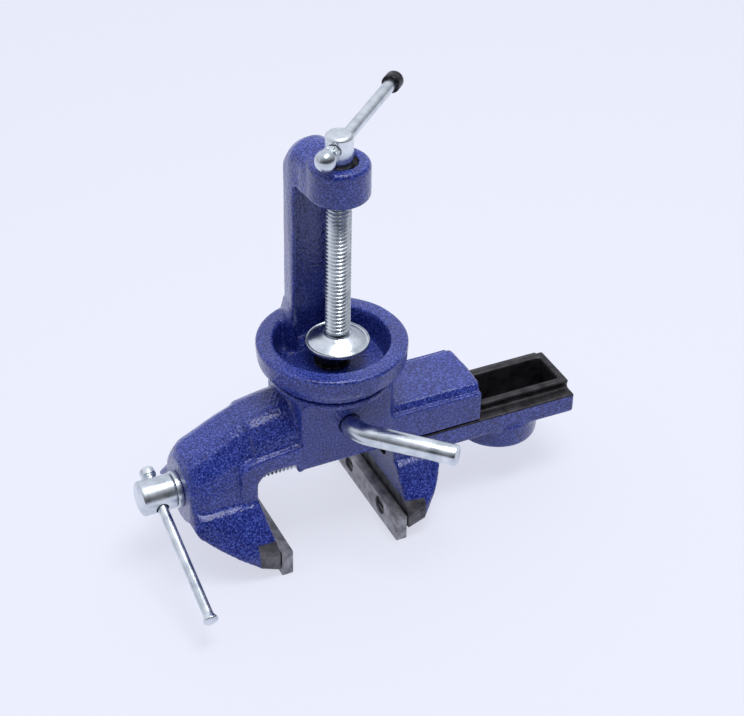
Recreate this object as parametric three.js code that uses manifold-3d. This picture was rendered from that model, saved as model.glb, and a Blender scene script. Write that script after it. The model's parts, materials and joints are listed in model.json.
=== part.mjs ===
// Small clamp-on bench vise, stored upside down on the lower edges of its jaw plates.
// Millimetres, +Z up. Heights are measured from the clamp face, the flat rim of the round clamp foot.
// X runs along the slide, from the lead screw's head (-X) to the slide's free end (+X).
import * as THREE from 'three';
import Module from 'manifold-3d';
import { mergeVertices } from 'three/addons/utils/BufferGeometryUtils.js';
import { ConvexGeometry } from 'three/addons/geometries/ConvexGeometry.js';

// ---------- driving dimensions ----------
const gap = 0.3;                    // air left between two pieces that lie against each other
const running = 0.1;                // radial play of a shaft that turns or slides in its hole

const floorZ = -102.5;              // lower edges of both jaw plates
const jawHalf = 37.5;               // half the jaw width of 75
const plateThick = 5.6;
const plateTopZ = -89;
const frontFaceX = -36.7;           // gripping face of the fixed plate
const rearFaceX = 18.1;             // gripping face of the sliding plate
const jawScrewY = 18;
const jawScrewZ = -94.7;

const rimOuter = 36;                // clamp foot
const rimInner = 27.4;
const footBottomZ = -12.1;
const dishFloorZ = -13.3;
const hubRadius = 29.3;
const hubBottomZ = -17.3;
const spigotRadius = 9.5;
const spigotBottomZ = -41.8;
const boltRadius = 4;

const armTurn = THREE.MathUtils.degToRad(10);   // how far the C-arm is turned from +Y
const armChannelHalf = 10.4;
const clampAt = [2.4, -1];          // clamp screw axis, a little off the foot's centre
const bossRadius = 14.4;
const bossBottomZ = 77;
const bossTopZ = 95;
const clampScrewRadius = 6;
const clampScrewBottomZ = 3.8;
const clampHeadTopZ = 108.4;
const clampBarZ = 102.5;
const clampBarTurn = THREE.MathUtils.degToRad(42.9);
const clampBarRadius = 3;

const seatRadius = 29.5;            // vise body
const seatTopZ = hubBottomZ - gap;
const bodyHalf = 20.5;
const undersideZ = -57.2;
const sleeveEndX = 71.3;
const noseX = -79.3;
const throatX = -47;
const throatRoofZ = -50.2;
const leverX = 0.2;
const leverZ = -36.6;
const leverRadius = 5;

const screwZ = -64.5;               // lead screw axis, y = 0
const leadRadius = 6;
const leadHeadX = -99.5;
const leadHeadRadius = 8.5;
const leadEndX = 62;
const mainBarX = -90.1;
const mainBarDip = THREE.MathUtils.degToRad(18);
const mainBarRadius = 2.5;

const slideEndX = 125;              // sliding jaw
const slideHalf = 20;
const slideBottomZ = -68.5;
const slideTopZ = undersideZ - gap;
const railTopZ = -53;
const channelHalf = 9.3;
const channelFloorZ = -71.5;

const round = 36;                   // facets of a medium cylinder
const fine = 56;                    // facets of a large one

// ---------- solids ----------
const wasm = await Module();
wasm.setup();

function solidOf(geometry) {
  const bare = geometry.clone();
  bare.deleteAttribute('normal');
  bare.deleteAttribute('uv');
  const merged = mergeVertices(bare, 1e-4);
  return new wasm.Manifold(new wasm.Mesh({
    numProp: 3,
    vertProperties: new Float32Array(merged.attributes.position.array),
    triVerts: new Uint32Array(merged.index.array),
  }));
}

function geometryOf(solid) {
  const mesh = solid.getMesh();
  const geometry = new THREE.BufferGeometry();
  geometry.setAttribute('position', new THREE.BufferAttribute(mesh.vertProperties, 3));
  geometry.setIndex(new THREE.BufferAttribute(mesh.triVerts, 1));
  return geometry;
}

const join = (first, ...rest) => rest.reduce((sum, solid) => sum.add(solid), first);
const cut = (first, ...rest) => rest.reduce((sum, solid) => sum.subtract(solid), first);

// A new frame whose axes are the given world directions, used to stand a shape up.
const basis = (x, y, z) => new THREE.Matrix4().makeBasis(
  new THREE.Vector3(...x), new THREE.Vector3(...y), new THREE.Vector3(...z));
const alongX = basis([0, 1, 0], [0, 0, 1], [1, 0, 0]);   // drawn in (y, z), pulled along +X
const sideways = basis([1, 0, 0], [0, 0, 1], [0, -1, 0]);    // drawn in (x, z), pulled along -Y

// An outline from corner points; a corner given as [a, b, r] is rounded by about r.
function outline(corners) {
  const shape = new THREE.Shape();
  const points = corners.map(([a, b]) => new THREE.Vector2(a, b));
  corners.forEach((corner, i) => {
    const here = points[i];
    const reach = corner[2] || 0;
    const before = points[(i + corners.length - 1) % corners.length].clone().sub(here).setLength(reach).add(here);
    const after = points[(i + 1) % corners.length].clone().sub(here).setLength(reach).add(here);
    const start = reach ? before : here;
    if (i === 0) shape.moveTo(start.x, start.y);
    else shape.lineTo(start.x, start.y);
    if (reach) shape.quadraticCurveTo(here.x, here.y, after.x, after.y);
  });
  shape.closePath();
  return shape;
}

function prism(shape, from, to, frame = new THREE.Matrix4(), curveSegments = 6) {
  const geometry = new THREE.ExtrudeGeometry(shape, { depth: to - from, bevelEnabled: false, curveSegments });
  return solidOf(geometry.translate(0, 0, from).applyMatrix4(frame));
}

function box(x0, x1, y0, y1, z0, z1) {
  const geometry = new THREE.BoxGeometry(x1 - x0, y1 - y0, z1 - z0);
  return solidOf(geometry.translate((x0 + x1) / 2, (y0 + y1) / 2, (z0 + z1) / 2));
}

// A solid of revolution from (radius, height) points, about the frame's own Z axis.
function turned(profile, frame = new THREE.Matrix4(), facets = round) {
  const points = profile.map(([r, h]) => new THREE.Vector2(r, h));
  if (THREE.ShapeUtils.area(points) < 0) points.reverse();
  const geometry = new THREE.LatheGeometry([...points, points[0].clone()], facets);
  return solidOf(geometry.rotateX(Math.PI / 2).applyMatrix4(frame));
}

const rod = (radius, from, to, frame, facets = round) =>
  turned([[0, from], [radius, from], [radius, to], [0, to]], frame, facets);

function tube(outer, inner, from, to, frame, facets = round) {
  return turned([[inner, from], [outer, from], [outer, to], [inner, to]], frame, facets);
}

const hull = (points) => solidOf(new ConvexGeometry(points.map((p) => new THREE.Vector3(...p))));

// The same points on both sides of the middle plane y = 0.
const bothSides = (points) => points.flatMap(([x, y, z]) => [[x, y, z], [x, -y, z]]);

// A frame at a point whose Z axis looks along a direction.
function looking(at, direction) {
  const z = new THREE.Vector3(...direction).normalize();
  const turn = new THREE.Quaternion().setFromUnitVectors(new THREE.Vector3(0, 0, 1), z);
  return new THREE.Matrix4().makeRotationFromQuaternion(turn).setPosition(...at);
}

const leadAxis = looking([0, 0, screwZ], [1, 0, 0]);
const clampAxis = new THREE.Matrix4().makeTranslation(clampAt[0], clampAt[1], 0);
const mainBarAxis = looking([mainBarX, 0, screwZ], [0, -Math.cos(mainBarDip), -Math.sin(mainBarDip)]);
const clampBarAxis = looking([clampAt[0], clampAt[1], clampBarZ],
  [Math.cos(clampBarTurn), Math.sin(clampBarTurn), 0]);
const leverAxis = looking([leverX, 0, leverZ], [0, -1, 0]);

// ---------- materials ----------
const material = (color, roughness, metalness) => new THREE.MeshStandardMaterial({ color, roughness, metalness });
const enamel = () => material(0x3d479f, 0.38, 0.15);
const zinc = () => material(0xc9cdd2, 0.28, 0.95);
const machined = () => material(0x6b6a6c, 0.5, 0.85);
const blackened = () => material(0x1d1d20, 0.45, 0.6);

const group = new THREE.Group();

function add(name, solid, finish) {
  const mesh = new THREE.Mesh(geometryOf(solid), finish);
  mesh.name = name;
  group.add(mesh);
}

// ---------- clamp frame: dished foot, C-arm and threaded boss in one casting ----------
function clampFoot() {
  const bore = boltRadius + running;
  return turned([
    [bore, dishFloorZ], [rimInner - 2.9, dishFloorZ], [rimInner - 1.9, dishFloorZ + 1], [rimInner, -0.7],
    [rimInner + 0.7, 0], [rimOuter - 0.8, 0], [rimOuter, -0.8], [rimOuter - 0.4, footBottomZ + 4],
    [rimOuter - 1.2, footBottomZ + 1.5], [rimOuter - 2.7, footBottomZ], [hubRadius, footBottomZ],
    [hubRadius, hubBottomZ], [spigotRadius, hubBottomZ], [spigotRadius, spigotBottomZ], [bore, spigotBottomZ],
  ], undefined, fine);
}

// In the arm's own frame Y points away from the clamp screw and X runs across the arm.
function clampArm() {
  const baseZ = dishFloorZ - 1;
  const front = 18;
  const back = 33;
  const shoulder = bossRadius - 0.4;
  const plan = outline([
    [-shoulder, 0], [shoulder, 0], [shoulder, 8], [13.5, front, 2],
    [9, back, 4], [-9, back, 4], [-13.5, front, 2], [-shoulder, 8],
  ]);
  const side = outline([
    [back + 0.5, baseZ], [back + 0.5, bossTopZ + 2], [0, bossTopZ + 2], [0, bossBottomZ + 0.5],
    [front - 0.05, bossBottomZ, 2], [front - 0.05, baseZ],
  ]);
  const arm = prism(plan, baseZ, bossTopZ + 3)
    .intersect(prism(side, -bossRadius, bossRadius, alongX))
    .intersect(hull(domeSteps.flatMap((step) => archedSection(...step))));
  const channel = box(-armChannelHalf, armChannelHalf, front - 1, front + 6, dishFloorZ + 2, 72);
  const panel = outline([[13, 79], [24, 79], [28, 82], [25, 89], [13, 91]]);
  return cut(arm, channel, prism(panel, 12, 16, alongX), prism(panel, -16, -12, alongX));
}

// Distance from the clamp screw, half width, corner rounding and height of the arm's domed top.
const domeSteps = [
  [0, 13.6, 4, 94.6], [10, 13.2, 9, 95.4], [17, 12.4, 11.5, 96.8], [23, 11.6, 11, 96.4], [27.5, 10.4, 10, 93.6],
  [30.8, 9.6, 9, 89], [32.6, 9.2, 8, 84], [33.2, 9, 6, 78],
];

function archedSection(away, half, rounding, topZ) {
  const points = [[-half - 1.4, away, dishFloorZ - 2], [half + 1.4, away, dishFloorZ - 2]];
  for (let i = 0; i <= 6; i += 1) {
    const turn = i * Math.PI / 12;
    const x = half - rounding + rounding * Math.cos(turn);
    const z = topZ - rounding + rounding * Math.sin(turn);
    points.push([x, away, z], [-x, away, z]);
  }
  return points;
}

function armFoot() {
  return hull([
    ...armRing(15.6, 10.6, 17, 34.6, dishFloorZ - 0.5), ...armRing(14.6, 9.8, 17.5, 33.8, 3),
    ...armRing(13.4, 8.9, 18.1, 32.9, 9),
  ]);
}

const armRing = (nearHalf, farHalf, near, far, z) => [
  [-nearHalf, near, z], [nearHalf, near, z], [nearHalf, near + 3, z], [farHalf, far, z],
  [-farHalf, far, z], [-nearHalf, near + 3, z],
];

function clampBoss() {
  return turned([
    [0, bossBottomZ], [bossRadius - 1.2, bossBottomZ], [bossRadius, bossBottomZ + 1.2],
    [bossRadius, bossTopZ - 1.4], [bossRadius - 1.4, bossTopZ], [0, bossTopZ],
  ], undefined, 56);
}

function clampFrame() {
  const channel = box(-armChannelHalf, armChannelHalf, 15, 24, dishFloorZ + 2, 12);
  const upper = join(clampArm(), cut(armFoot(), channel), clampBoss());
  const thread = rod(clampScrewRadius + running, bossBottomZ - 5, bossTopZ + 5, undefined, 48);
  const counterbore = rod(8.6, bossTopZ - 2.4, bossTopZ + 1, undefined, 48);
  const placed = cut(upper, thread, counterbore).transform(
    new THREE.Matrix4().makeRotationZ(armTurn).setPosition(clampAt[0], clampAt[1], 0).toArray());
  const belowRim = tube(2 * rimOuter, hubRadius - 1, hubBottomZ - 1, footBottomZ + 2, undefined, fine);
  return join(clampFoot(), cut(placed, belowRim));
}

// ---------- clamp screw, pad and sliding bar ----------
function clampScrew() {
  const head = 6.4;
  const neckZ = bossTopZ - 2;
  const body = turned([
    [0, clampScrewBottomZ], [clampScrewRadius - 1, clampScrewBottomZ], [clampScrewRadius, clampScrewBottomZ + 1],
    [clampScrewRadius, neckZ], [head, neckZ + 0.4],
    [head, clampHeadTopZ - 1.3], [head - 1.6, clampHeadTopZ], [0, clampHeadTopZ],
  ], clampAxis, 44);
  return cut(body, rod(clampBarRadius + running, -10, 10, clampBarAxis, 28));
}

function clampPad() {
  return turned([
    [0, -0.9], [13.4, -0.9], [14, -2.2], [15, -2.3], [15.4, -1.6], [15, -0.8], [13.8, 0.4],
    [7.2, 3.5], [0, 3.5],
  ], clampAxis, 40);
}

const ballAt = -15.4;
const ballRadius = 4.9;
const collarFrom = -10.9;
const collarTo = -8.4;
const capFrom = 61;

function clampBarBall() {
  const ball = solidOf(new THREE.SphereGeometry(ballRadius, 24, 12).rotateX(Math.PI / 2)
    .translate(0, 0, ballAt).applyMatrix4(clampBarAxis));
  return cut(ball, rod(clampBarRadius + gap, ballAt, ballAt + 9, clampBarAxis, 28));
}

const barCollar = () => tube(4, clampBarRadius + gap, collarFrom + 0.2, collarTo, clampBarAxis, 28);

function clampBarCap() {
  const capTo = capFrom + 8;
  const cap = turned([
    [0, capFrom], [4.1, capFrom], [4.5, capFrom + 0.6], [4.5, capTo - 2], [3, capTo], [0, capTo],
  ], clampBarAxis, 28);
  return cut(cap, rod(clampBarRadius + gap, capFrom - 1, capFrom + 5, clampBarAxis, 28));
}

// ---------- vise body: fixed jaw, swivel block and slide sleeve in one casting ----------
// The bow's cross-section at one station: a narrow flat crown and sides that spread downwards.
function bowSection(x, topZ, bottomZ, half = bodyHalf + 0.3) {
  const drop = topZ - bottomZ;
  const steps = [[0.34, 0], [0.55, 0.09], [0.79, 0.38], [0.94, 0.75], [1, 1]];
  return bothSides(steps.map(([across, down]) => [x, across * half, topZ - down * drop]));
}

function bow() {
  const stations = [
    [noseX + 1.4, -46.2], [-74, -42.7], [-64.5, -37.7], [-55, -32.4], [throatX, -28.8], [-36, -26.7], [-25, -25],
  ];
  const pieces = [];
  for (let i = 1; i < stations.length; i += 1) {
    const [x0, z0] = stations[i - 1];
    const [x1, z1] = stations[i];
    const bottomZ = x1 > throatX ? throatRoofZ : -66;
    const half0 = i === 1 ? 18.2 : undefined;
    pieces.push(hull([...bowSection(x0, z0, bottomZ, half0), ...bowSection(x1, z1, bottomZ)]));
  }
  return join(...pieces);
}

// The raised frame that borders the throat and runs back along it to the swivel block.
function throatBorder() {
  const shape = outline([
    [-55.5, -66], [-55.5, -47, 4], [-47, -43.5, 3], [-24, -41.5], [-24, undersideZ], [-26.5, undersideZ],
    [-27.5, throatRoofZ - 2], [-43, throatRoofZ - 2, 3], [throatX, -57, 2], [throatX, -66],
  ]);
  const plate = prism(shape, -bodyHalf - 1.2, bodyHalf + 1.2, sideways);
  const hollow = box(throatX, -23, -bodyHalf + 4, bodyHalf - 4, -67, throatRoofZ);
  return cut(plate, hollow);
}

function fixedJaw() {
  const seatX = frontFaceX - plateThick - gap;
  return join(
    hull(bothSides([
      [-80.3, 25, -72.6], [-49, 25, -72.6], [throatX, 20.8, -66], [-78.5, 19, -66],
      [-76, 24, -67.8], [-49, 24, -67.8], [-79.2, 26.5, -75.3],
      [-71, 31, -82.2], [-62.5, 35, -88], [-52.6, jawHalf, -95], [seatX, jawHalf, -99.3],
      [seatX, jawHalf, -89], [seatX - 0.6, 35, -85],
    ])),
    hull(noseRing));
}

const noseSteps = 16;
const noseRing = Array.from({ length: noseSteps }, (unused, i) => i * 2 * Math.PI / noseSteps).flatMap((turn) => [
  [noseX, 16.4 * Math.cos(turn), screwZ + 16.4 * Math.sin(turn)],
  [noseX + 2, 18.4 * Math.cos(turn), screwZ + 18.4 * Math.sin(turn)],
  [-62, 18.4 * Math.cos(turn), screwZ + 18.4 * Math.sin(turn)],
]);

function swivelBlock() {
  const arc = Math.asin(bodyHalf / seatRadius);
  const corner = -24.7;
  const plan = new THREE.Shape();
  plan.absarc(0, 0, seatRadius, -arc, arc);
  plan.lineTo(corner, bodyHalf);
  plan.lineTo(corner, -bodyHalf);
  plan.closePath();
  return join(
    rod(seatRadius, -21, seatTopZ, undefined, fine),
    prism(plan, undersideZ, -20, undefined, 12));
}

function sleeve() {
  const section = outline([
    [-19.8, undersideZ], [19.8, undersideZ], [19.8, -40, 0.8], [17, -41.2], [15.35, -37.4, 0.8],
    [-15.35, -37.4, 0.8], [-17, -41.2], [-19.8, -40, 0.8],
  ]);
  const plan = new THREE.Shape();
  plan.moveTo(10, -19.8);
  plan.lineTo(sleeveEndX, -19.8);
  plan.quadraticCurveTo(sleeveEndX + 3, 0, sleeveEndX, 19.8);
  plan.lineTo(10, 19.8);
  plan.closePath();
  return prism(section, 10, sleeveEndX + 4, alongX).intersect(prism(plan, undersideZ, -37.4, undefined, 10));
}

// The dovetail slot that guides the slide's rails, with a running gap all round.
function guideSlot() {
  return prism(outline([
    [-12.6 - gap, undersideZ - 1], [12.6 + gap, undersideZ - 1], [14 + gap, railTopZ + gap],
    [-14 - gap, railTopZ + gap],
  ]), -40, sleeveEndX + 6, alongX);
}

function viseBody() {
  const casting = join(bow(), throatBorder(), fixedJaw(), swivelBlock(), sleeve());
  return cut(casting,
    guideSlot(),
    rod(leadRadius + running, noseX - 4, throatX + 1, leadAxis),
    rod(16.4, noseX - 4, noseX, leadAxis, fine),
    rod(collarRadius + gap, collarX - gap, throatX + 1, leadAxis),
    rod(spigotRadius + running, spigotBottomZ - gap, seatTopZ + 1, undefined, 48),
    rod(boltRadius + gap, -60, spigotBottomZ, undefined, 24),
    rod(nutPocketRadius, -60, nutPocketZ, undefined, 40),
    rod(leverRadius + gap, spigotRadius - 1, bodyHalf + 4, leverAxis, 32),
    ...jawScrewHoles(frontFaceX, -1));
}

// ---------- jaw plates and their countersunk screws ----------
const jawScrewFrame = (faceX, way, y) => looking([faceX, y, jawScrewZ], [way, 0, 0]);
const screwHeadRadius = 4.4;
const shankRadius = 2.4;
const shankEnd = 12.5;

const jawScrewHoles = (faceX, way) => [-jawScrewY, jawScrewY].map((y) =>
  rod(shankRadius + gap, 0, shankEnd + gap, jawScrewFrame(faceX, way, y), 24));

function jawPlate(faceX, way) {
  const far = faceX + way * plateThick;
  const plate = box(Math.min(faceX, far), Math.max(faceX, far), -jawHalf, jawHalf, floorZ, plateTopZ);
  const sinks = [-jawScrewY, jawScrewY].map((y) => turned([
    [0, -1], [screwHeadRadius + gap, -1], [screwHeadRadius + gap, 1.8], [shankRadius + gap, 4],
    [shankRadius + gap, plateThick + 1], [0, plateThick + 1],
  ], jawScrewFrame(faceX, way, y), 28));
  return cut(plate, ...sinks);
}

function jawScrew(faceX, way, y) {
  const frame = jawScrewFrame(faceX, way, y);
  const body = turned([
    [0, 0.9], [screwHeadRadius, 0.9], [screwHeadRadius, 1.5], [shankRadius, 3.6], [shankRadius, shankEnd],
    [0, shankEnd],
  ], frame, 28);
  return cut(body, box(-0.6, 0.6, -6, 6, -1, 2.1).transform(frame.toArray()));
}

// ---------- sliding jaw: rear jaw, dovetail slide and anvil in one casting ----------
const slideFrontX = 24 + gap;
const nutFrom = 26;
const nutTo = 42;
const nutTopZ = -55;
const nutScrewFrame = looking([(nutFrom + nutTo) / 2, 0, -84.5], [0, 0, 1]);

function slidingJaw() {
  const slab = prism(outline([
    [-slideHalf, slideTopZ], [-slideHalf, slideBottomZ, 1.2], [slideHalf, slideBottomZ, 1.2],
    [slideHalf, slideTopZ],
  ]), slideFrontX, slideEndX, alongX);
  const rails = prism(outline([
    [-12.3, slideTopZ - 0.5], [12.3, slideTopZ - 0.5], [14, railTopZ], [-14, railTopZ],
  ]), slideFrontX, slideEndX, alongX);
  const keel = prism(outline([
    [-12.4, slideBottomZ + 1], [-12.4, channelFloorZ - 3, 2], [12.4, channelFloorZ - 3, 2], [12.4, slideBottomZ + 1],
  ]), slideFrontX, slideEndX - 1.5, alongX);
  const jaw = hull(bothSides([
    [slideFrontX, 20, -67], [47, 20, -67], [slideFrontX, 23.6, -68.6], [46.5, 23.6, -68.6],
    [slideFrontX, 25.3, -72.6], [47.2, 25.3, -72.6], [45.4, 28, -76], [41.5, 33, -81.2], [35, 36.6, -85], [33.7, jawHalf, -93.3], [slideFrontX, jawHalf, -97.1],
    [slideFrontX, jawHalf, -89], [slideFrontX, 35, -85],
  ]));
  const anvil = turned([[0, -79.5], [20.2, -79.5], [21, -78.7], [21, slideBottomZ + 1], [0, slideBottomZ + 1]],
    new THREE.Matrix4().makeTranslation(91.5, 0, 0), fine);
  return cut(join(slab, rails, keel, jaw, anvil),
    box(slideFrontX - 1, slideEndX - 4, -channelHalf, channelHalf, channelFloorZ, railTopZ + 1),
    rod(2 + gap, 0, 16, nutScrewFrame, 24),
    rod(4 + gap, -4, 2.4, nutScrewFrame, 24),
    ...jawScrewHoles(rearFaceX, 1));
}

// ---------- lead screw, its nut and its retaining parts ----------
const collarRadius = 8.5;
const collarX = throatX - 5.2;
const collarLong = 4.6;
const pinFrame = looking([collarX + collarLong / 2, 0, screwZ], [0, 1, 0]);
const pinRadius = 1.3;
const headEndX = -82.2;
const washerFrom = headEndX + 0.1;
const washerTo = noseX - 0.1;

function leadScrew() {
  const body = turned([
    [0, leadHeadX], [leadHeadRadius - 1.8, leadHeadX], [leadHeadRadius, leadHeadX + 1.2],
    [leadHeadRadius, headEndX - 0.6], [leadHeadRadius - 0.6, headEndX],
    [leadRadius, headEndX], [leadRadius, leadEndX - 1], [leadRadius - 1, leadEndX], [0, leadEndX],
  ], leadAxis, 44);
  return cut(body,
    rod(mainBarRadius + 0.7, -12, 12, mainBarAxis, 28),
    rod(pinRadius + gap, -10, 10, pinFrame, 16));
}

function leadNut() {
  const block = box(nutFrom, nutTo, -channelHalf + gap, channelHalf - gap, channelFloorZ + gap, nutTopZ);
  return cut(block,
    rod(leadRadius + running, nutFrom - 1, nutTo + 1, leadAxis),
    rod(2 + gap, 10, 16, nutScrewFrame, 24));
}

function nutScrew() {
  return turned([[0, 0.1], [4, 0.1], [4, 2.2], [2, 2.2], [2, 13.4], [0, 13.4]], nutScrewFrame, 24);
}

function mainBar() {
  const flare = 3.7;
  return turned([
    [0, -15], [flare - 1, -15], [flare, -14.2], [flare, -10.4], [mainBarRadius, -9.6],
    [mainBarRadius, 68.8], [flare, 70.6], [flare, 71.4], [flare - 0.8, 72], [0, 72],
  ], mainBarAxis, 28);
}

// ---------- swivel lock lever: a bent rod that goes in through the side of the block ----------
function lockLever() {
  const elbow = new THREE.Vector3(leverX, -27.5, leverZ);
  const start = new THREE.Vector3(leverX, -spigotRadius - 0.4, leverZ);
  const end = new THREE.Vector3(35.5, -62.5, leverZ);
  const bend = 6;
  const before = elbow.clone().add(start.clone().sub(elbow).setLength(bend));
  const after = elbow.clone().add(end.clone().sub(elbow).setLength(bend));
  const path = new THREE.CurvePath();
  path.add(new THREE.LineCurve3(start, before));
  path.add(new THREE.QuadraticBezierCurve3(before, elbow, after));
  path.add(new THREE.LineCurve3(after, end));
  const section = new THREE.Shape().absarc(0, 0, leverRadius, 0, 2 * Math.PI);
  return solidOf(new THREE.ExtrudeGeometry(section, { steps: 14, extrudePath: path, curveSegments: 12 }));
}

// ---------- pivot bolt, its washers and nut ----------
const nutPocketZ = -45;
const nutPocketRadius = 9.2;
const washerTopZ = dishFloorZ + 1.4;
const boltTopZ = -5.6;
const pivotNutZ = -52;
const springTopZ = nutPocketZ - 0.1;
const springBottomZ = springTopZ - 1.6;

function pivotBolt() {
  return join(
    turned([[0, washerTopZ + 0.1], [8, washerTopZ + 0.1], [8, boltTopZ], [0, boltTopZ]], undefined, 6),
    rod(boltRadius, pivotNutZ - 0.4, washerTopZ + 1, undefined, 28));
}

function pivotNut() {
  const blank = turned([[0, pivotNutZ], [7.8, pivotNutZ], [7.8, springBottomZ - 0.1], [0, springBottomZ - 0.1]],
    undefined, 6);
  return cut(blank, rod(boltRadius + running, -60, -40, undefined, 28));
}

// ---------- assembly ----------
add('clamp_frame', clampFrame(), enamel());
add('clamp_pad', clampPad(), zinc());
add('clamp_screw', clampScrew(), zinc());
add('clamp_bar', rod(clampBarRadius, ballAt + gap, capFrom + 4.6, clampBarAxis, 28), zinc());
add('clamp_bar_ball', clampBarBall(), zinc());
add('clamp_bar_collar', barCollar(), zinc());
add('clamp_bar_cap', clampBarCap(), blackened());

add('vise_body', viseBody(), enamel());
add('pivot_washer', tube(8.6, boltRadius + gap, dishFloorZ + 0.1, washerTopZ), blackened());
add('pivot_bolt', pivotBolt(), blackened());
add('pivot_spring_washer', tube(7, boltRadius + gap, springBottomZ, springTopZ), zinc());
add('pivot_nut', pivotNut(), zinc());
add('lock_lever', lockLever(), zinc());

const jaws = [['front', frontFaceX, -1], ['rear', rearFaceX, 1]];
for (const [name, faceX, way] of jaws) {
  add(`${name}_jaw_plate`, jawPlate(faceX, way), machined());
  add(`${name}_jaw_screw_near`, jawScrew(faceX, way, -jawScrewY), blackened());
  add(`${name}_jaw_screw_far`, jawScrew(faceX, way, jawScrewY), blackened());
}

add('sliding_jaw', slidingJaw(), enamel());
add('lead_nut', leadNut(), machined());
add('nut_screw', nutScrew(), blackened());
add('lead_screw', leadScrew(), zinc());
add('lead_screw_washer', tube(9, leadRadius + gap, washerFrom, washerTo, leadAxis), zinc());
add('retaining_collar', cut(
  tube(collarRadius, leadRadius + gap, collarX, collarX + collarLong, leadAxis),
  rod(pinRadius + gap, -10, 10, pinFrame, 16)), blackened());
add('collar_pin', rod(pinRadius, -8.3, 8.3, pinFrame, 16), zinc());
add('main_bar', mainBar(), zinc());

// The origin stands under the middle of the object's box, on the surface that it rests on.
const extent = new THREE.Box3().setFromObject(group);
const middle = extent.getCenter(new THREE.Vector3());
group.position.set(-middle.x, -middle.y, -extent.min.z);

export default group;
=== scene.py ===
import json
import bpy
import bmesh
import numpy as np
from mathutils import Matrix, Vector


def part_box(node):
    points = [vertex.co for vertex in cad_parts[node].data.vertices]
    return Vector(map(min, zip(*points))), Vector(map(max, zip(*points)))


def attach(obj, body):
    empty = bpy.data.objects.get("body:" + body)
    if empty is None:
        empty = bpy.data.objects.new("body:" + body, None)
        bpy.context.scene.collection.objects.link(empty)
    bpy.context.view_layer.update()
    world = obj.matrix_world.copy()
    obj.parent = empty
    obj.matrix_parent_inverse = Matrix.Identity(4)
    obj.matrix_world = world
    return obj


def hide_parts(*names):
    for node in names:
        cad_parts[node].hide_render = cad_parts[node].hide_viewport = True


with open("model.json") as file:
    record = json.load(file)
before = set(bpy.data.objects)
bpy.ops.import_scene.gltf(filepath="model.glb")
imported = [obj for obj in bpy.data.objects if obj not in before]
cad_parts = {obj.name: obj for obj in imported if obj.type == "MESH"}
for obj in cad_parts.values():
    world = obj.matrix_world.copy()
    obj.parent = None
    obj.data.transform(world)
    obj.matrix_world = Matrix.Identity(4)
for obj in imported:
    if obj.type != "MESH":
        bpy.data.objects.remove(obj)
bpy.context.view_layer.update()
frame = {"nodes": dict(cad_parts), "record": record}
mm = 0.001
tau = 2 * np.pi
bodies = frame["record"]["behaviour"]["bodies"]
bodyOfNode = {nodeName: body for body, nodeNames in bodies.items() for nodeName in nodeNames}
slotOfNode = {part["node"]: part["material_slot"] for part in frame["record"]["subparts"]}


def middle(nodeName):
    low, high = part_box(nodeName)
    return (np.array(low) + np.array(high)) / 2


# every size below is in mm from where the swivel axis meets the clamp face, the top of the foot's rim
padBelowFace = 2.3
swivelX, swivelY, _ = middle("pivot_bolt")
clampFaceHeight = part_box("clamp_pad")[0][2] + padBelowFace * mm
zero = np.array([swivelX, swivelY, clampFaceHeight])
screwHeight = (middle("lead_screw")[2] - zero[2]) / mm
print("frame loaded, swivel axis at", zero)


def linear(hexCode):
    # each sRGB channel: /12.92 below 0.04045, else ((c + 0.055) / 1.055) to the power 2.4
    channels = [int(hexCode[i:i + 2], 16) / 255 for i in (1, 3, 5)]
    return tuple(c / 12.92 if c <= 0.04045 else ((c + 0.055) / 1.055) ** 2.4 for c in channels) + (1.0,)


def perMetre(size):
    # a noise texture's scale for a feature of this size in mm
    return 1 / (size * mm)


def node(tree, kind, settings=None, links=None):
    # adds one node, sets its properties and sockets, and links its inputs from other nodes' outputs
    made = tree.nodes.new(kind)
    for key, value in (settings or {}).items():
        if isinstance(key, int) or key in made.inputs:
            made.inputs[key].default_value = value
        else:
            setattr(made, key, value)
    for key, source in (links or {}).items():
        tree.links.new(source, made.inputs[key])
    return made


def ramp(tree, source, stops):
    made = node(tree, "ShaderNodeValToRGB", links={0: source})
    elements = made.color_ramp.elements
    while len(elements) < len(stops):
        elements.new(0.5)
    for element, (place, colour) in zip(elements, stops):
        element.position = place
        element.color = colour
    return made


def startMaterial(name, shader):
    material = bpy.data.materials.new(name)
    material.use_nodes = True
    tree = material.node_tree
    tree.nodes.clear()
    surface = node(tree, "ShaderNodeBsdfPrincipled", shader)
    node(tree, "ShaderNodeOutputMaterial", links={"Surface": surface.outputs[0]})
    place = node(tree, "ShaderNodeTexCoord").outputs["Object"]
    return material, tree, surface, place


enamelLook = {
    "fleckSize": 0.9,        # mm, the grain of the hammered flecks
    "cellSize": 1.5,         # mm, the dimples
    "driftSize": 22.222,      # mm, slow changes of shade
    "dark": "#0b165a", "mid": "#1a2c84", "light": "#5464bb",
    "shade": (0.84, 1.12), "roughness": 0.42, "coatRoughness": 0.08,
    "dimpleDepth": 0.24,     # mm
}


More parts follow.
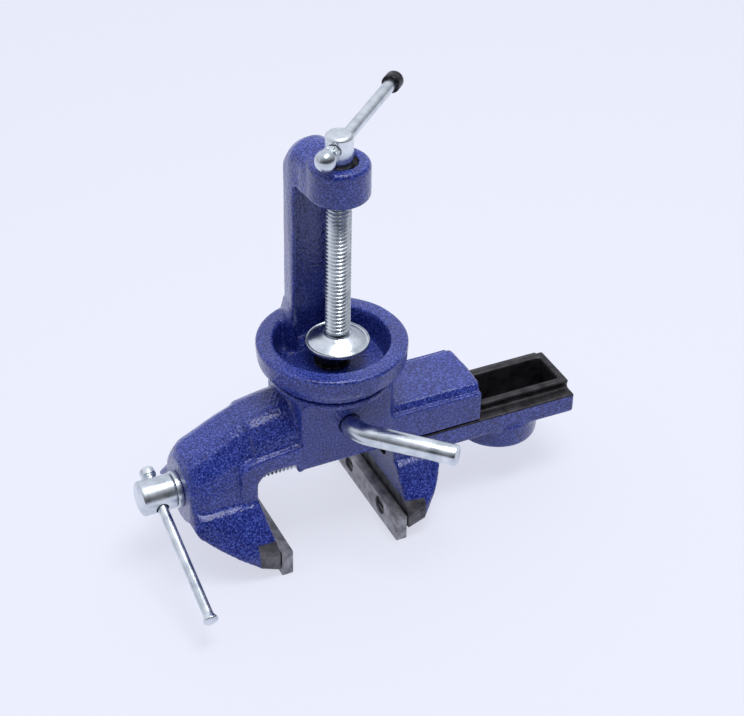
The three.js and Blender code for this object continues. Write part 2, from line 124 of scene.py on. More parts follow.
def hammertoneEnamel(look):
    # stoved hammertone enamel on cast iron: flake in blue lacquer draws into flecks and shallow dimples,
    # so it looks speckled, and its gloss breaks up into sparks along the edges
    material, tree, surface, place = startMaterial("hammertoneEnamel", {
        "Roughness": look["roughness"], "Metallic": 0.0, "Coat Weight": 1.0,
        "Coat Roughness": look["coatRoughness"], "Specular IOR Level": 0.06})
    flecks = node(tree, "ShaderNodeTexNoise", {
        "Scale": perMetre(look["fleckSize"]), "Detail": 4.0, "Roughness": 0.75}, {"Vector": place})
    cells = node(tree, "ShaderNodeTexVoronoi", {
        "Scale": perMetre(look["cellSize"]), "feature": "SMOOTH_F1", "Smoothness": 0.5}, {"Vector": place})
    drift = node(tree, "ShaderNodeTexNoise", {"Scale": perMetre(look["driftSize"]), "Detail": 2.0},
                 {"Vector": place})
    colour = ramp(tree, flecks.outputs["Fac"], [
        (0.4, linear(look["dark"])), (0.5, linear(look["mid"])), (0.61, linear(look["light"]))])
    shade = node(tree, "ShaderNodeMapRange", {
        "From Min": 0.3, "From Max": 0.7, "To Min": look["shade"][0], "To Max": look["shade"][1]},
        {"Value": drift.outputs["Fac"]})
    tinted = node(tree, "ShaderNodeMix", {"data_type": "RGBA", "blend_type": "MULTIPLY", 0: 1.0},
                  {6: colour.outputs["Color"], 7: shade.outputs["Result"]})
    tree.links.new(tinted.outputs[2], surface.inputs["Base Color"])
    height = node(tree, "ShaderNodeMath", {"operation": "MULTIPLY_ADD", 1: 0.6},
                  {0: flecks.outputs["Fac"], 2: cells.outputs["Distance"]})
    bump = node(tree, "ShaderNodeBump", {"Strength": 1.0, "Distance": look["dimpleDepth"] * mm},
                {"Height": height.outputs[0]})
    tree.links.new(bump.outputs[0], surface.inputs["Normal"])
    tree.links.new(bump.outputs[0], surface.inputs["Coat Normal"])
    return material


zincLook = {
    "cloudSize": 7.143,      # mm, the patches of the plating
    "markSize": 0.38462,     # mm, tool marks, drawn several times coarser than a fine turned finish
    "markDepth": 0.05,       # mm
    "dark": "#bcc5cd", "light": "#e8eef2", "roughness": (0.2, 0.34),
}


def brightZinc(look):
    # turned mild steel, bright zinc plated: clear blue-white metal with faint cloudy patches and tool marks
    material, tree, surface, place = startMaterial("brightZincSteel", {"Metallic": 1.0})
    cloud = node(tree, "ShaderNodeTexNoise", {"Scale": perMetre(look["cloudSize"]), "Detail": 4.0},
                 {"Vector": place})
    colour = ramp(tree, cloud.outputs["Fac"], [(0.3, linear(look["dark"])), (0.7, linear(look["light"]))])
    tree.links.new(colour.outputs["Color"], surface.inputs["Base Color"])
    polish = node(tree, "ShaderNodeMapRange", {
        "From Min": 0.3, "From Max": 0.7, "To Min": look["roughness"][0], "To Max": look["roughness"][1]},
        {"Value": cloud.outputs["Fac"]})
    tree.links.new(polish.outputs["Result"], surface.inputs["Roughness"])
    marks = node(tree, "ShaderNodeTexNoise", {"Scale": perMetre(look["markSize"]), "Detail": 2.0},
                 {"Vector": place})
    bump = node(tree, "ShaderNodeBump", {"Strength": 0.12, "Distance": look["markDepth"] * mm},
                {"Height": marks.outputs["Fac"]})
    tree.links.new(bump.outputs[0], surface.inputs["Normal"])
    return material


ironLook = {
    "lineSize": 1.1111,      # mm between cutter lines, drawn about twice as coarse as milled
    "stainSize": 5.5556,     # mm
    "lineDepth": 0.08,       # mm
}
ironKinds = {
    "milledIron": {"dark": "#34343a", "light": "#77757a", "roughness": 0.5, "squeeze": (0.12, 1.0, 1.0)},
    "oiledSlideIron": {"dark": "#19191c", "light": "#454447", "roughness": 0.45, "squeeze": (0.12, 1.0, 1.0)},
    "groundIron": {"dark": "#5a5a60", "light": "#a9a8ae", "roughness": 0.44, "squeeze": (1.0, 0.1, 1.0)},
    # the darkest iron below is bare iron made near black as painted shade: it lines only the bores, the guide
    # slot and the slide's channel, recesses where shade falls
    "recessIronPaintedShade": {"dark": "#1b1b1e", "light": "#4c4b50", "roughness": 0.55, "squeeze": (0.15, 1.0, 1.0)},
}


def bareIron(name, look, kind):
    # bare machined grey iron: matt dark metal with fine parallel cutter lines, drawn out along one axis
    material, tree, surface, place = startMaterial(name, {"Metallic": 0.75, "Roughness": kind["roughness"]})
    turned = node(tree, "ShaderNodeMapping", {"Scale": kind["squeeze"]}, {"Vector": place})
    lines = node(tree, "ShaderNodeTexNoise", {
        "Scale": perMetre(look["lineSize"]), "Detail": 3.0, "Roughness": 0.7}, {"Vector": turned.outputs[0]})
    stain = node(tree, "ShaderNodeTexNoise", {"Scale": perMetre(look["stainSize"]), "Detail": 3.0},
                 {"Vector": place})
    mixed = node(tree, "ShaderNodeMath", {"operation": "MULTIPLY_ADD", 1: 0.5},
                 {0: lines.outputs["Fac"], 2: stain.outputs["Fac"]})
    colour = ramp(tree, mixed.outputs[0], [(0.5, linear(kind["dark"])), (0.95, linear(kind["light"]))])
    tree.links.new(colour.outputs["Color"], surface.inputs["Base Color"])
    bump = node(tree, "ShaderNodeBump", {"Strength": 0.3, "Distance": look["lineDepth"] * mm},
                {"Height": lines.outputs["Fac"]})
    tree.links.new(bump.outputs[0], surface.inputs["Normal"])
    return material


oxideLook = {"wearSize": 2.0, "depth": 0.1, "dark": "#17171a", "worn": "#4a4a50", "roughness": 0.34}


def blackOxide(look):
    # oiled black oxide on steel: near black with a soft satin shine and worn spots
    material, tree, surface, place = startMaterial("blackOxideSteel", {
        "Metallic": 0.6, "Roughness": look["roughness"]})
    wear = node(tree, "ShaderNodeTexNoise", {"Scale": perMetre(look["wearSize"]), "Detail": 4.0},
                {"Vector": place})
    colour = ramp(tree, wear.outputs["Fac"], [(0.45, linear(look["dark"])), (0.75, linear(look["worn"]))])
    tree.links.new(colour.outputs["Color"], surface.inputs["Base Color"])
    bump = node(tree, "ShaderNodeBump", {"Strength": 0.15, "Distance": look["depth"] * mm},
                {"Height": wear.outputs["Fac"]})
    tree.links.new(bump.outputs[0], surface.inputs["Normal"])
    return material


enamel = hammertoneEnamel(enamelLook)
zinc = brightZinc(zincLook)
irons = {name: bareIron(name, ironLook, kind) for name, kind in ironKinds.items()}
blackened = blackOxide(oxideLook)
finishes = {"enamel": enamel, "zinc": zinc, "machined_iron": irons["groundIron"], "black_oxide": blackened}
print("materials made")


def finishPiece(name, mesh, replaced, materials, smooth=True):
    # puts a mesh in the scene, gives it its finish and lets it ride where the CAD node it stands for rides
    piece = bpy.data.objects.new(name, mesh)
    bpy.context.collection.objects.link(piece)
    mesh.materials.clear()
    for material in materials:
        mesh.materials.append(material)
    mesh.shade_smooth() if smooth else mesh.shade_flat()
    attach(piece, bodyOfNode[replaced])
    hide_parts(replaced)
    return piece


def gridMesh(name, rings):
    # rings of points, each closed round, joined in quads, with a fan to a middle point at either end
    count, around, _ = rings.shape
    points = np.concatenate([rings.reshape(-1, 3), rings[0].mean(0)[None], rings[-1].mean(0)[None]])
    row = np.arange(around)
    after = (row + 1) % around
    base = (np.arange(count - 1) * around)[:, None]
    quads = np.stack([base + row, base + after, base + around + after, base + around + row], axis=-1)
    last = (count - 1) * around
    first = np.stack([after, row, np.full(around, count * around)], axis=-1)
    end = np.stack([last + row, last + after, np.full(around, count * around + 1)], axis=-1)
    mesh = bpy.data.meshes.new(name)
    mesh.from_pydata(points, [], quads.reshape(-1, 4).tolist() + first.tolist() + end.tolist())
    mesh.validate()
    fixed = bmesh.new()
    fixed.from_mesh(mesh)
    bmesh.ops.recalc_face_normals(fixed, faces=fixed.faces)
    fixed.to_mesh(mesh)
    fixed.free()
    return mesh


def softCorners(corners, steps=5):
    # a profile whose corners [r, h, soft] are rounded by a quadratic curve that starts and ends soft away
    points = []
    for i, (r, h, soft) in enumerate(corners):
        here = np.array([r, h], float)
        if soft == 0 or i in (0, len(corners) - 1):
            points.append(here)
            continue
        before = np.array(corners[i - 1][:2], float) - here
        after = np.array(corners[i + 1][:2], float) - here
        start = here + before / np.linalg.norm(before) * soft
        end = here + after / np.linalg.norm(after) * soft
        t = np.linspace(0, 1, steps)[:, None]
        points.extend((1 - t) ** 2 * start + 2 * t * (1 - t) * here + t ** 2 * end)
    return np.array(points)


def axisFrame(origin, direction):
    # two unit vectors across the axis, then the axis itself
    along = np.array(direction, float)
    along /= np.linalg.norm(along)
    side = np.cross(along, [0, 0, 1] if abs(along[2]) < 0.9 else [1, 0, 0])
    side /= np.linalg.norm(side)
    return np.array(origin, float), side, np.cross(along, side), along


def turnedRings(profile, axis, around=96, ripple=None):
    # point = origin + h * along + r * (cos a * side + sin a * across), for each profile point and angle a
    origin, side, across, along = axis
    angle = np.arange(around) * tau / around
    r = np.maximum(profile[:, 0], 0.02)[:, None] * np.ones(around)
    h = profile[:, 1][:, None] * np.ones(around)
    if ripple is not None:
        r = r + ripple(angle[None, :], h)
    flat = np.cos(angle)[None, :, None] * side + np.sin(angle)[None, :, None] * across
    return (origin + h[..., None] * along + r[..., None] * flat) * mm + zero


def threadRipple(pitch, depth, start, end, runOut=1.5):
    # a V thread: depth times a clipped triangle wave of (h / pitch - angle / turn), faded at both ends
    def ripple(angle, h):
        phase = (h / pitch - angle / tau) % 1.0
        vee = np.clip(1.25 * (1 - np.abs(2 * phase - 1)) - 0.12, 0, 1)
        fade = np.clip((h - start) / runOut, 0, 1) * np.clip((end - h) / runOut, 0, 1)
        return -depth * (1 - vee) * fade
    return ripple


def threaded(profile, start, end, pitch, perPitch=10):
    # the profile with its straight stretch from start to end cut into even steps
    extra = np.arange(start, end, pitch / perPitch)[1:]
    i = np.where(profile[:, 1] <= start + 1e-6)[0].max()
    radius = profile[i, 0]
    stretch = np.stack([np.full(len(extra), radius), extra], axis=1)
    return np.concatenate([profile[:i + 1], stretch, profile[i + 1:]])


def cutThrough(piece, radius, axis, reach):
    # a round hole through a piece, cut with an exact boolean whose result is kept
    cutter = bpy.data.objects.new("cutter", gridMesh("cutter", turnedRings(
        np.array([[0, -reach], [radius, -reach], [radius, reach], [0, reach]], float), axis, 64)))
    bpy.context.collection.objects.link(cutter)
    modifier = piece.modifiers.new("hole", "BOOLEAN")
    modifier.object = cutter
    modifier.operation = "DIFFERENCE"
    modifier.solver = "EXACT"
    keepResult(piece)
    bpy.data.objects.remove(cutter)


def keepResult(piece):
    graph = bpy.context.evaluated_depsgraph_get()
    made = bpy.data.meshes.new_from_object(piece.evaluated_get(graph), depsgraph=graph)
    piece.modifiers.clear()
    piece.data = made


def mergedCopy(nodeName):
    # a CAD node's loose triangles merged into one surface
    made = bmesh.new()
    made.from_mesh(frame["nodes"][nodeName].data)
    bmesh.ops.remove_doubles(made, verts=made.verts, dist=0.002 * mm)
    return made


def smoothEdges(mesh, degrees=32):
    mesh.shade_smooth()
    mesh.set_sharp_from_angle(angle=np.radians(degrees))


castingLook = {
    "grid": {"clamp_frame": 0.72, "vise_body": 0.75, "sliding_jaw": 0.72},   # mm, the mesh of each casting
    "passes": 5,             # rounds of averaging: more gives rounder cast edges
    "firmPasses": 2,         # the first ones, which take the grid's steps off everywhere
    "swell": 0.07,           # mm, how far the cast skin rises and falls
}


def unevenness(points):
    # slow hollows and swells of a sand casting: a sum of sines across the piece, in mm
    x, y, z = (points / mm).T
    return (np.sin(x / 5.1 + 1.3 * np.sin(y / 7.3)) * np.sin(y / 6.2 + z / 9.1)
            + 0.7 * np.sin(z / 4.7 + x / 8.9) * np.sin(y / 4.1 - x / 11.0))


def casting(nodeName, look, crispness, paint, planes):
    # remeshes the CAD solid on an even grid, then averages each point with its neighbours, less where it is
    # machined, and cuts the mesh along the planes where paint ends
    merged = mergedCopy(nodeName)
    rough = bpy.data.meshes.new(nodeName + "Rough")
    merged.to_mesh(rough)
    merged.free()
    holder = bpy.data.objects.new(nodeName + "Rough", rough)
    bpy.context.collection.objects.link(holder)
    remesh = holder.modifiers.new("grid", "REMESH")
    remesh.mode = "VOXEL"
    remesh.voxel_size = look["grid"][nodeName] * mm
    remesh.adaptivity = 0.0
    keepResult(holder)
    mesh = holder.data
    bpy.data.objects.remove(holder)
    count = len(mesh.vertices)
    points = np.empty(count * 3)
    mesh.vertices.foreach_get("co", points)
    points = points.reshape(-1, 3)
    edges = np.empty(len(mesh.edges) * 2, int)
    mesh.edges.foreach_get("vertices", edges)
    a, b = edges.reshape(-1, 2).T
    number = np.bincount(np.concatenate([a, b]), minlength=count)[:, None]
    soft = (1 - crispness(*((points - zero) / mm).T))[:, None]
    for turn in range(look["passes"]):
        total = np.zeros_like(points)
        for axis in range(3):
            total[:, axis] = np.bincount(a, points[b, axis], count) + np.bincount(b, points[a, axis], count)
        weight = 0.5 * (soft if turn >= look["firmPasses"] else np.ones_like(soft))
        points = points + weight * (total / number - points)
    mesh.vertices.foreach_set("co", points.ravel())
    mesh.update()
    normals = np.empty(count * 3)
    mesh.vertices.foreach_get("normal", normals)
    points = points + soft * look["swell"] * mm * unevenness(points)[:, None] * normals.reshape(-1, 3)
    points = np.clip(points, *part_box(nodeName))
    mesh.vertices.foreach_set("co", points.ravel())
    mesh.update()
    made = bmesh.new()
    made.from_mesh(mesh)
    for place, direction in planes:
        everything = made.verts[:] + made.edges[:] + made.faces[:]
        bmesh.ops.bisect_plane(made, geom=everything, plane_co=Vector(np.array(place) * mm + zero),
                               plane_no=Vector(direction), dist=1e-7)
    bmesh.ops.triangulate(made, faces=[face for face in made.faces if len(face.verts) > 4])
    made.to_mesh(mesh)
    made.free()
    piece = finishPiece(nodeName + "Casting", mesh, nodeName, castingFinishes)
    centres = np.empty(len(mesh.polygons) * 3)
    mesh.polygons.foreach_get("center", centres)
    index = paint(*((centres.reshape(-1, 3) - zero) / mm).T)
    mesh.polygons.foreach_set("material_index", index.astype(np.int32))
    mesh.update()
    print(nodeName, "casting", len(mesh.polygons), "faces")
    return piece


# the third face kind is bare iron made near black as painted shade inside bores, the slot and the channel
painted, milledFace, recessShadeFace, slideFace = range(4)
castingFinishes = [enamel, irons["milledIron"], irons["recessIronPaintedShade"], irons["oiledSlideIron"]]

# where the castings are machined, in mm
frameZones = {"boreX": 2.4, "boreY": -1.0, "boreRadius": 8.7, "boreFrom": 60.0}
bodyZones = {
    "plateSeatX": -52.8, "plateSeatZ": -83.2,                      # the step that holds the front jaw plate
    "slotHalf": 14.4, "slotTop": -52.5, "slotBottom": -57.0,       # the slot that guides the slide
    "boreRadius": 8.9, "boreFrom": -79.0, "boreTo": -44.0,
    "sleeveEndX": 72.0, "leverX": 0.2, "leverZ": -36.6, "leverRadius": 5.3,
}
slideZones = {
    "topZ": -58.3, "channelHalf": 9.6, "channelFrom": 24.6, "channelTo": 121.3, "channelBottom": -72.2,
    "channelTop": -54.2, "plateSeatX": 34.2, "plateSeatZ": -82.6,  # the step that holds the rear jaw plate
}


def near(distance, reach):
    # 1 at no distance, falling straight to 0 at reach
    return np.clip(1 - distance / reach, 0, 1)


def frameCrisp(x, y, z):
    return np.zeros_like(x)


def framePaint(x, y, z):
    zones = frameZones
    bore = (np.hypot(x - zones["boreX"], y - zones["boreY"]) < zones["boreRadius"]) & (z > zones["boreFrom"])
    # the bore round the clamp screw gets the near-black iron: painted shade in the hole
    return np.where(bore, recessShadeFace, painted)


def bodyCrisp(x, y, z):
    # each machined zone is kept crisp a millimetre or so past the line where its paint ends
    zones = bodyZones
    seat = (x > zones["plateSeatX"] - 0.6) & (x < -30) & (z < zones["plateSeatZ"] + 1.2)
    slot = (np.abs(y) < zones["slotHalf"] + 1.2) & (z < zones["slotTop"] + 0.9) & (x > -30)
    sleeveEnd = near(np.abs(x - zones["sleeveEndX"]), 2.5) * 0.5
    fromHole = np.abs(np.hypot(x - zones["leverX"], z - zones["leverZ"]) - zones["leverRadius"])
    leverHole = near(fromHole, 2.0) * (y < -18) * 0.6
    return np.clip(np.maximum(np.where(seat | slot, 0.9, 0), np.maximum(sleeveEnd, leverHole)), 0, 0.9)


def bodyPaint(x, y, z):
    zones = bodyZones
    seat = (x > zones["plateSeatX"]) & (x < -30) & (z < zones["plateSeatZ"])
    slot = (x > -30) & (np.abs(y) < zones["slotHalf"]) & (z < zones["slotTop"]) & (z > zones["slotBottom"])
    inBore = np.hypot(y, z - screwHeight) < zones["boreRadius"]
    bore = inBore & (x < zones["boreTo"]) & (x > zones["boreFrom"])
    # the guide slot and the lead screw's bore get the near-black iron: painted shade in these recesses
    return np.where(seat, milledFace, np.where(slot | bore, recessShadeFace, painted))


def slideCrisp(x, y, z):
    zones = slideZones
    top = np.where(z > zones["topZ"] - 0.7, 0.85, 0)
    across = np.abs(y) < zones["channelHalf"] + 0.6
    along = (x > zones["channelFrom"] - 0.6) & (x < zones["channelTo"] + 1.2)
    channel = np.where(across & along & (z > zones["channelBottom"] - 0.8), 0.7, 0)
    seat = np.where((x < zones["plateSeatX"] + 0.4) & (z < zones["plateSeatZ"] + 0.6), 0.8, 0)
    return np.maximum(np.maximum(top, channel), seat)


def slidePaint(x, y, z):
    zones = slideZones
    top = z > zones["topZ"]
    along = (x > zones["channelFrom"]) & (x < zones["channelTo"])
    deep = (z > zones["channelBottom"]) & (z < zones["channelTop"])
    channel = (np.abs(y) < zones["channelHalf"]) & along & deep
    seat = (x < zones["plateSeatX"]) & (z < zones["plateSeatZ"])
    # the channel gets the near-black iron: painted shade down inside the channel
    return np.where(channel, recessShadeFace, np.where(top, slideFace, np.where(seat, milledFace, painted)))


casting("clamp_frame", castingLook, frameCrisp, framePaint, [])
casting("vise_body", castingLook, bodyCrisp, bodyPaint, [
    ((bodyZones["plateSeatX"], 0, 0), (1, 0, 0)), ((0, 0, bodyZones["plateSeatZ"]), (0, 0, 1))])
casting("sliding_jaw", castingLook, slideCrisp, slidePaint, [
    ((0, 0, slideZones["topZ"]), (0, 0, 1)), ((slideZones["plateSeatX"], 0, 0), (1, 0, 0)),
    ((0, 0, slideZones["plateSeatZ"]), (0, 0, 1))])


# clamp screw, its pad and its sliding bar, with the bar's stations counted from the screw's axis
clampLook = {
    "radius": 6.0, "pitch": 2.0, "depth": 1.05, "from": 3.8, "threadTo": 93.0,
    "headRadius": 6.4, "headTop": 108.4, "padRadius": 15.4,
    "barHeight": 102.5, "barTurn": np.radians(42.9), "barRadius": 3.0, "barFrom": -15.1, "barTo": 65.6,
    "ballRadius": 4.9, "ballAt": -15.4, "collarRadius": 4.0, "collarTeeth": 18, "toothDepth": 0.35,
    "collarFrom": -10.8, "collarTo": -8.4, "capRadius": 4.5, "capFrom": 61.0, "capTo": 68.97,
}
clampCentre = (middle("clamp_screw") - zero) / mm
clampAxis = axisFrame([clampCentre[0], clampCentre[1], 0], [0, 0, 1])
clampBarAxis = axisFrame([clampCentre[0], clampCentre[1], clampLook["barHeight"]],
                         [np.cos(clampLook["barTurn"]), np.sin(clampLook["barTurn"]), 0])


def clampScrew(look):
    r, head, start, end, top = [look[key] for key in ("radius", "headRadius", "from", "threadTo", "headTop")]
    profile = softCorners([
        [0, start, 0], [r - 1, start, 0.3], [r, start + 1, 0], [r, end, 0], [head, end + 0.4, 0.1],
        [head, top - 1.3, 0.5], [head - 1.2, top - 0.1, 0.5], [0, top, 0]])
    profile = threaded(profile, start + 1, end, look["pitch"])
    ripple = threadRipple(look["pitch"], look["depth"], start + 1, end - 1.5)
    rings = turnedRings(profile, clampAxis, 72, ripple)
    piece = finishPiece("clampSpindle", gridMesh("clampSpindle", rings), "clamp_screw", [zinc])
    cutThrough(piece, look["barRadius"] + 0.35, clampBarAxis, 10)
    smoothEdges(piece.data, 50)


def clampPad(look):
    # a dished disc with a rolled edge: the profile goes out under the disc and comes back over it
    r = look["padRadius"]
    profile = softCorners([
        [0, -0.9, 0], [r - 2.2, -0.9, 0.5], [r - 1.4, -2.2, 0.5], [r - 0.3, -2.2, 0.4], [r, -1.3, 0.4],
        [r - 0.5, -0.4, 0.3], [r - 1.3, -0.9, 0.3], [r - 2.1, -0.4, 0.4], [r - 4.4, 1.2, 2], [7.4, 3.0, 1.0],
        [6.6, 3.5, 0.4], [0, 3.5, 0]], 6)
    rings = turnedRings(profile, clampAxis, 96)
    finishPiece("clampPadDisc", gridMesh("clampPadDisc", rings), "clamp_pad", [zinc])


def clampBar(look):
    r, start, end = look["barRadius"], look["barFrom"], look["barTo"]
    bar = softCorners([[0, start, 0], [r, start, 0.2], [r, end, 0.2], [0, end, 0]])
    turn = np.linspace(0, np.pi, 40)
    ballRadius = look["ballRadius"]
    ball = np.stack([ballRadius * np.sin(turn), look["ballAt"] - ballRadius * np.cos(turn)], axis=1)
    r, start, end = look["collarRadius"], look["collarFrom"], look["collarTo"]
    collar = softCorners([[0, start, 0], [r, start, 0.3], [r, end, 0.3], [0, end, 0]])
    r, start, end = look["capRadius"], look["capFrom"], look["capTo"]
    cap = softCorners([
        [0, start, 0], [r - 0.3, start, 0.3], [r, start + 0.6, 0.2], [r - 0.02, end - 1.57, 1.2],
        [r - 1.5, end, 0.6], [0, end, 0]])

    def knurl(angle, h):
        # straight teeth: a cosine of the angle, as many times round as there are teeth
        return -look["toothDepth"] * (0.5 + 0.5 * np.cos(angle * look["collarTeeth"]))

    for name, replaced, profile, around, ripple, finish in [
            ("clampTommyBar", "clamp_bar", bar, 48, None, zinc),
            ("clampBall", "clamp_bar_ball", ball, 64, None, zinc),
            ("clampCollar", "clamp_bar_collar", collar, 144, knurl, zinc),
            ("clampEndCap", "clamp_bar_cap", cap, 64, None, blackened)]:
        rings = turnedRings(profile, clampBarAxis, around, ripple)
        finishPiece(name, gridMesh(name, rings), replaced, [finish])


clampScrew(clampLook)
clampPad(clampLook)
clampBar(clampLook)
print("clamp screw done")


# lead screw and its sliding bar
leadLook = {
    "radius": 6.0, "pitch": 2.0, "depth": 1.05, "headRadius": 8.5, "headFrom": -99.5, "headTo": -82.2,
    "threadFrom": -50.0, "end": 62.0,
    "barX": -90.1, "barDip": np.radians(18), "barRadius": 2.5, "barFrom": -15.0, "barTo": 71.9,
    "stopRadius": 3.7,
}
leadAxis = axisFrame([0, 0, screwHeight], [1, 0, 0])
mainBarAxis = axisFrame([leadLook["barX"], 0, screwHeight],
                        [0, -np.cos(leadLook["barDip"]), -np.sin(leadLook["barDip"])])


def leadScrew(look):
    r, head, start = look["radius"], look["headRadius"], look["threadFrom"]
    a, b, end = look["headFrom"], look["headTo"], look["end"]
    profile = softCorners([
        [0, a, 0], [head - 2.4, a + 0.1, 0.8], [head - 0.2, a + 1.1, 0.5], [head, a + 2.2, 0.2],
        [head, b - 0.7, 0.2], [head - 0.7, b, 0.2], [r, b, 0.1], [r, start, 0], [r, end - 1, 0],
        [r - 1, end, 0.1], [0, end, 0]])
    profile = threaded(profile, start, end - 1, look["pitch"])
    ripple = threadRipple(look["pitch"], look["depth"], start + 3.5, end - 1.2)
    rings = turnedRings(profile, leadAxis, 64, ripple)
    piece = finishPiece("leadSpindle", gridMesh("leadSpindle", rings), "lead_screw", [zinc])
    cutThrough(piece, look["barRadius"] + 0.7, mainBarAxis, 12)
    smoothEdges(piece.data, 50)


def mainBar(look):
    r, stop, start, end = look["barRadius"], look["stopRadius"], look["barFrom"], look["barTo"]
    profile = softCorners([
        [0, start, 0], [stop - 1.1, start, 0.6], [stop, start + 1, 0.6], [stop, start + 4.4, 0.6],
        [r, start + 5.4, 0.5], [r, end - 3.5, 1.2], [stop - 0.2, end - 1.6, 0.5], [stop, end - 0.6, 0.4],
        [stop - 0.8, end + 0.1, 0.4], [0, end, 0]])
    rings = turnedRings(profile, mainBarAxis, 56)
    finishPiece("leadTommyBar", gridMesh("leadTommyBar", rings), "main_bar", [zinc])


leadScrew(leadLook)
mainBar(leadLook)
print("lead screw done")


# swivel lock lever
leverLook = {
    "x": 0.2, "height": -36.6, "radius": 5.0, "start": -9.9, "elbow": -27.5, "end": (35.5, -62.5),
    "bend": 7.0, "chamfer": 0.7,
}


def lockLever(look):
    # a circle carried along straight, quadratic bend, straight, all at one height, its free end chamfered
    elbow = np.array([look["x"], look["elbow"]])
    start = np.array([look["x"], look["start"]])
    end = np.array(look["end"])
    before = elbow + (start - elbow) / np.linalg.norm(start - elbow) * look["bend"]
    after = elbow + (end - elbow) / np.linalg.norm(end - elbow) * look["bend"]
    t = np.linspace(0, 1, 24)[1:-1, None]
    curve = (1 - t) ** 2 * before + 2 * t * (1 - t) * elbow + t ** 2 * after
    way = (end - after) / np.linalg.norm(end - after)
    tail = end - way * np.array([look["chamfer"], 0.25, 0])[:, None]
    inHole = [start, start + (before - start) * 0.5, before]
    path = np.concatenate([inHole, curve, [after, (after + end) / 2], tail])
    radius = np.full(len(path), look["radius"])
    radius[-3:] -= np.array([0, 0.18, look["chamfer"]])
    slope = np.gradient(path, axis=0)
    slope /= np.linalg.norm(slope, axis=1)[:, None]
    side = np.stack([-slope[:, 1], slope[:, 0], np.zeros(len(path))], axis=1)
    angle = np.arange(56) * tau / 56
    centre = np.column_stack([path, np.full(len(path), look["height"])])
    upward = np.array([0, 0, 1.0])
    circle = np.cos(angle)[None, :, None] * side[:, None] + np.sin(angle)[None, :, None] * upward
    rings = centre[:, None] + radius[:, None, None] * circle
    piece = finishPiece("swivelLever", gridMesh("swivelLever", rings * mm + zero), "lock_lever", [zinc])
    smoothEdges(piece.data, 40)


lockLever(leverLook)
print("lever done")


# plates, bolts, washers and nuts: how wide each one's edges are rounded, in mm
bevelLook = {
    "front_jaw_plate": 0.35, "rear_jaw_plate": 0.35,
    "front_jaw_screw_near": 0.15, "front_jaw_screw_far": 0.15,
    "rear_jaw_screw_near": 0.15, "rear_jaw_screw_far": 0.15,
    "pivot_washer": 0.2, "pivot_bolt": 0.5, "pivot_spring_washer": 0.2, "pivot_nut": 0.4,
    "lead_nut": 0.4, "nut_screw": 0.15, "lead_screw_washer": 0.3, "retaining_collar": 0.3, "collar_pin": 0.2,
}


def bevelled(nodeName, width):
    # the CAD solid with its flat faces rejoined and every sharp edge rounded
    made = mergedCopy(nodeName)
    bmesh.ops.dissolve_limit(made, angle_limit=np.radians(2), verts=made.verts, edges=made.edges)
    mesh = bpy.data.meshes.new(nodeName + "Piece")
    made.to_mesh(mesh)
    made.free()
    piece = finishPiece(nodeName + "Piece", mesh, nodeName, [finishes[slotOfNode[nodeName]]])
    bevel = piece.modifiers.new("edge", "BEVEL")
    bevel.width = width * mm
    bevel.segments = 3
    bevel.limit_method = "ANGLE"
    bevel.angle_limit = np.radians(40)
    bevel.harden_normals = False
    keepResult(piece)
    smoothEdges(piece.data, 35)


for nodeName, width in bevelLook.items():
    bevelled(nodeName, width)
print("plates and fasteners done")


# floor, light and camera, in metres and watts
stageLook = {
    "floor": "#7c7e86", "floorGlow": 0.71, "glowColour": "#eef0fd", "floorHalf": 6.0,
    "overheadPlace": (0.1, -0.2, 1.25), "overheadSize": (0.75, 0.4), "overheadPower": 9.0,
    "leftPlace": (-1.3, 0.2, 0.6), "leftSize": (0.7, 0.7), "leftPower": 0.4, "aim": (0, 0, 0.08),
    "worldBright": 1.0, "worldDark": 0.07, "worldColour": "#f3f5ff",
}


def paleFloor(look):
    # a pale sheet lit a little from within, as on a light table, which keeps the shadows faint
    material = startMaterial("paleFloor", {
        "Roughness": 0.85, "Base Color": linear(look["floor"]), "Specular IOR Level": 0.2,
        "Emission Color": linear(look["glowColour"]), "Emission Strength": look["floorGlow"]})[0]
    mesh = bpy.data.meshes.new("floor")
    h = look["floorHalf"]
    mesh.from_pydata([(-h, -h, 0), (h, -h, 0), (h, h, 0), (-h, h, 0)], [], [(0, 1, 2, 3)])
    mesh.materials.append(material)
    floor = bpy.data.objects.new("floor", mesh)
    bpy.context.collection.objects.link(floor)


def softbox(name, place, size, power, aim):
    data = bpy.data.lights.new(name, "AREA")
    data.shape = "RECTANGLE"
    data.size, data.size_y = size
    data.energy = power
    data.color = (0.97, 0.98, 1.0)
    light = bpy.data.objects.new(name, data)
    light.location = place
    light.rotation_euler = (Vector(aim) - Vector(place)).to_track_quat("-Z", "Y").to_euler()
    bpy.context.collection.objects.link(light)


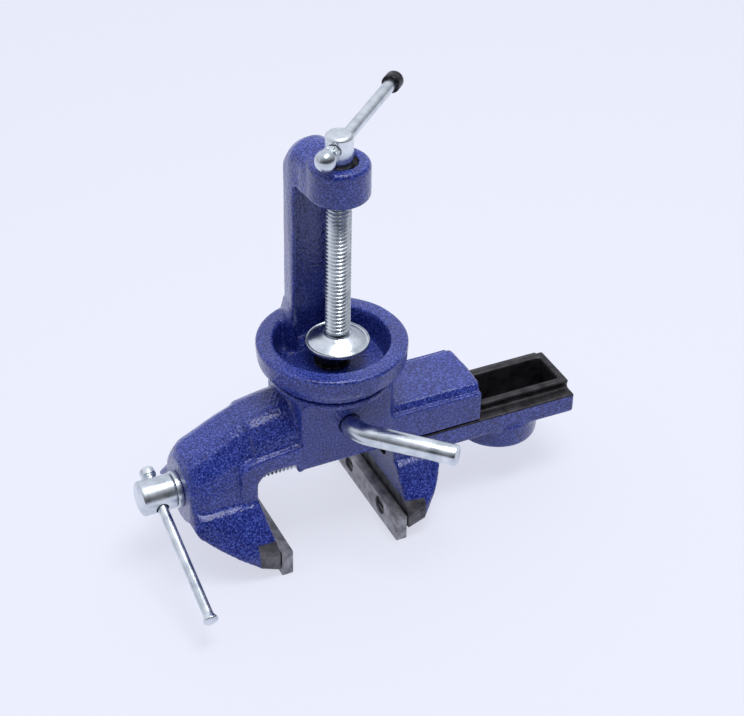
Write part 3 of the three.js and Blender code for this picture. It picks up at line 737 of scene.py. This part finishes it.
def studioWorld(look):
    # bright above and behind, dark low in front: strength rises with 0.55 * y + 0.8 * z of the direction
    world = bpy.data.worlds.new("studio")
    bpy.context.scene.world = world
    world.use_nodes = True
    tree = world.node_tree
    tree.nodes.clear()
    place = node(tree, "ShaderNodeTexCoord").outputs["Generated"]
    tilt = node(tree, "ShaderNodeVectorMath", {"operation": "DOT_PRODUCT", 1: (0.0, 0.55, 0.8)}, {0: place})
    level = node(tree, "ShaderNodeMapRange", {
        "From Min": -0.12, "From Max": 0.8, "To Min": look["worldDark"], "To Max": look["worldBright"]},
        {"Value": tilt.outputs["Value"]})
    glow = node(tree, "ShaderNodeBackground", {"Color": linear(look["worldColour"])},
                {"Strength": level.outputs["Result"]})
    node(tree, "ShaderNodeOutputWorld", links={"Surface": glow.outputs[0]})


cameraLook = {
    "focal": 89.62, "azimuth": np.radians(-26.19), "elevation": np.radians(35.86), "roll": np.radians(1.291),
    "place": (-294.8, -642.2, 499.3),     # mm from the swivel axis at the clamp face
}


def placeCamera(look):
    # turns the camera by azimuth and elevation, then rolls it about its own line of sight
    a, e, r = look["azimuth"], look["elevation"], look["roll"]
    back = np.array([np.sin(a) * np.cos(e), -np.cos(a) * np.cos(e), np.sin(e)])
    right = np.array([np.cos(a), np.sin(a), 0])
    up = np.cross(back, right)
    turned = np.array([np.cos(r) * right + np.sin(r) * up, -np.sin(r) * right + np.cos(r) * up, back]).T
    data = bpy.data.cameras.new("camera")
    data.lens = look["focal"]
    data.sensor_width = 36
    data.sensor_fit = "HORIZONTAL"
    data.clip_start, data.clip_end = 0.01, 50
    camera = bpy.data.objects.new("camera", data)
    bpy.context.collection.objects.link(camera)
    matrix = np.eye(4)
    matrix[:3, :3] = turned
    matrix[:3, 3] = np.array(look["place"]) * mm + zero
    camera.matrix_world = Matrix(matrix.tolist())
    bpy.context.scene.camera = camera


paleFloor(stageLook)
for side in ("overhead", "left"):
    place, spread, power = [stageLook[side + key] for key in ("Place", "Size", "Power")]
    softbox(side, place, spread, power, stageLook["aim"])
studioWorld(stageLook)
placeCamera(cameraLook)
bpy.context.scene.view_settings.view_transform = "Standard"
bpy.context.scene.view_settings.look = "None"
print("stage done")
